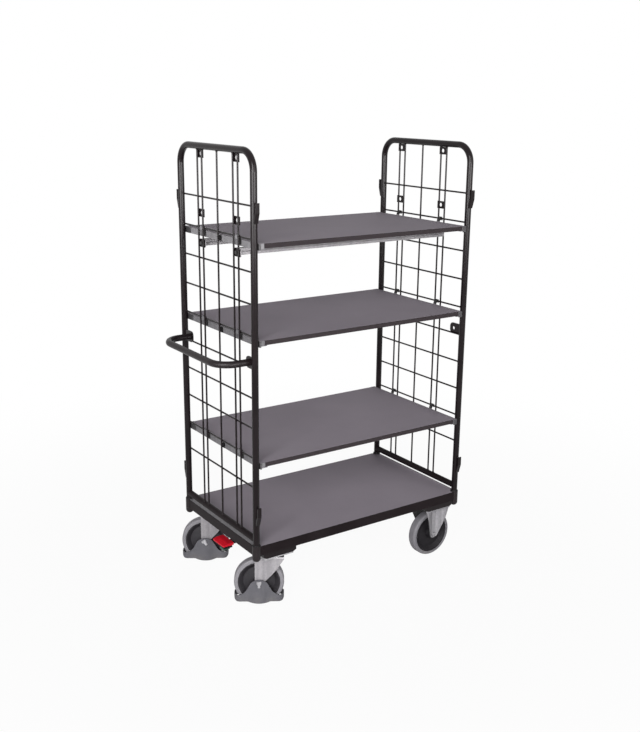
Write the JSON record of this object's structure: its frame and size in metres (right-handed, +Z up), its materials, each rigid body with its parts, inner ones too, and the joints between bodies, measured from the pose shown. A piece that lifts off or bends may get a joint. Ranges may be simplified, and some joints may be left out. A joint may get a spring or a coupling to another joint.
{
  "type": "shelf trolley",
  "caption": "Shelf trolley with tubular mesh end walls, hook-in grey shelves, a bolted push handle, fixed and swivel casters with foot guards and a central foot brake.",
  "frame": {"origin": "on the floor under the middle of the outline", "axes": "+Z up, +X from the push handle towards the fixed casters, +Y across the trolley towards its far long side"},
  "size_m": [0.9875, 0.534, 1.5175],
  "materials": {
    "frame_paint": "satin powder coat",
    "board_grey": "matt resin film",
    "zinc": "zinc plated",
    "fastener_steel": "zinc plated",
    "seal_black": "matt",
    "tyre_grey": "matt",
    "hub_black": "matt",
    "guard_grey": "fine texture",
    "pedal_red": "semi gloss",
    "pedal_green": "semi gloss"
  },
  "bodies": {
    "trolley": {"caster_bolts": "fastener_steel", "corner_sockets": "frame_paint", "deck_board": "board_grey", "fixed_axles": "fastener_steel", "fixed_channel": "frame_paint", "fixed_end_rail": "frame_paint", "front_fixed_fork": "zinc", "front_rail": "frame_paint", "front_tie_rail": "zinc", "handle_bolts": "fastener_steel", "handle_end_rail": "frame_paint", "handle_wall_crossbar": "frame_paint", "handle_wall_frame": "frame_paint", "handle_wall_gate_hooks": "frame_paint", "handle_wall_hole_plates": "frame_paint", "handle_wall_lugs": "frame_paint", "handle_wall_mesh": "frame_paint", "plain_wall_crossbar": "frame_paint", "plain_wall_frame": "frame_paint", "plain_wall_gate_hooks": "frame_paint", "plain_wall_hole_plates": "frame_paint", "plain_wall_lugs": "frame_paint", "plain_wall_mesh": "frame_paint", "push_handle": "frame_paint", "rear_fixed_fork": "zinc", "rear_rail": "frame_paint", "rear_tie_rail": "zinc", "swivel_bearings": "seal_black", "swivel_channel": "frame_paint", "swivel_kingpins": "fastener_steel", "swivel_plates": "zinc", "tie_rail_bolts": "fastener_steel"},
    "front_swivel": {"front_swivel_fork": "zinc", "front_foot_guard": "guard_grey", "front_swivel_axle": "fastener_steel"},
    "rear_swivel": {"rear_swivel_fork": "zinc", "rear_foot_guard": "guard_grey", "rear_swivel_axle": "fastener_steel"},
    "front_swivel_wheel": {"front_swivel_hub": "hub_black", "front_swivel_tyre": "tyre_grey"},
    "rear_swivel_wheel": {"rear_swivel_hub": "hub_black", "rear_swivel_tyre": "tyre_grey"},
    "front_fixed_wheel": {"front_fixed_hub": "hub_black", "front_fixed_tyre": "tyre_grey"},
    "rear_fixed_wheel": {"rear_fixed_hub": "hub_black", "rear_fixed_tyre": "tyre_grey"},
    "brake": {"brake_shaft": "seal_black", "brake_pedal": "pedal_red", "release_pedal": "pedal_green"},
    "front_plunger": {"front_brake_plunger": "fastener_steel"},
    "rear_plunger": {"rear_brake_plunger": "fastener_steel"},
    "top_shelf": {"top_shelf_board": "board_grey", "top_shelf_ends": "zinc"},
    "middle_shelf": {"middle_shelf_board": "board_grey", "middle_shelf_ends": "zinc"},
    "lower_shelf": {"lower_shelf_board": "board_grey", "lower_shelf_ends": "zinc"}
  },
  "joints": [
    {"name": "front_swivel_turn", "type": "hinge", "parent": "trolley", "child": "front_swivel", "pos_m": [-0.29125, -0.192, 0.185], "axis": [0, 0, 1], "continuous": true},
    {"name": "front_swivel_wheel_roll", "type": "hinge", "parent": "front_swivel", "child": "front_swivel_wheel", "pos_m": [-0.32687, -0.16974, 0.0845], "axis": [0.5299, 0.848, 0], "continuous": true},
    {"name": "front_fixed_wheel_roll", "type": "hinge", "parent": "trolley", "child": "front_fixed_wheel", "pos_m": [0.40125, -0.192, 0.0845], "axis": [0, 1, 0], "continuous": true},
    {"name": "rear_swivel_turn", "type": "hinge", "parent": "trolley", "child": "rear_swivel", "pos_m": [-0.29125, 0.192, 0.185], "axis": [0, 0, 1], "continuous": true},
    {"name": "rear_swivel_wheel_roll", "type": "hinge", "parent": "rear_swivel", "child": "rear_swivel_wheel", "pos_m": [-0.32687, 0.21426, 0.0845], "axis": [0.5299, 0.848, 0], "continuous": true},
    {"name": "rear_fixed_wheel_roll", "type": "hinge", "parent": "trolley", "child": "rear_fixed_wheel", "pos_m": [0.40125, 0.192, 0.0845], "axis": [0, 1, 0], "continuous": true},
    {"name": "brake_press", "type": "hinge", "parent": "trolley", "child": "brake", "pos_m": [-0.26925, 0, 0.21546], "axis": [0, -1, 0], "range_deg": [0, 16]},
    {"name": "front_plunger_slide", "type": "slide", "parent": "front_swivel", "child": "front_plunger", "axis": [0, 0, -1], "range_m": [0, 0.00607]},
    {"name": "rear_plunger_slide", "type": "slide", "parent": "rear_swivel", "child": "rear_plunger", "axis": [0, 0, -1], "range_m": [0, 0.00607]},
    {"name": "top_shelf_lift", "type": "slide", "parent": "trolley", "child": "top_shelf", "axis": [0, 0, 1], "range_m": [0, 0.025]},
    {"name": "middle_shelf_lift", "type": "slide", "parent": "trolley", "child": "middle_shelf", "axis": [0, 0, 1], "range_m": [0, 0.025]},
    {"name": "lower_shelf_lift", "type": "slide", "parent": "trolley", "child": "lower_shelf", "axis": [0, 0, 1], "range_m": [0, 0.025]}
  ],
  "couplings": [
    {"joint": "front_plunger_slide", "follows": "brake_press", "m_per_rad": 0.021715},
    {"joint": "rear_plunger_slide", "follows": "brake_press", "m_per_rad": 0.021715}
  ]
}
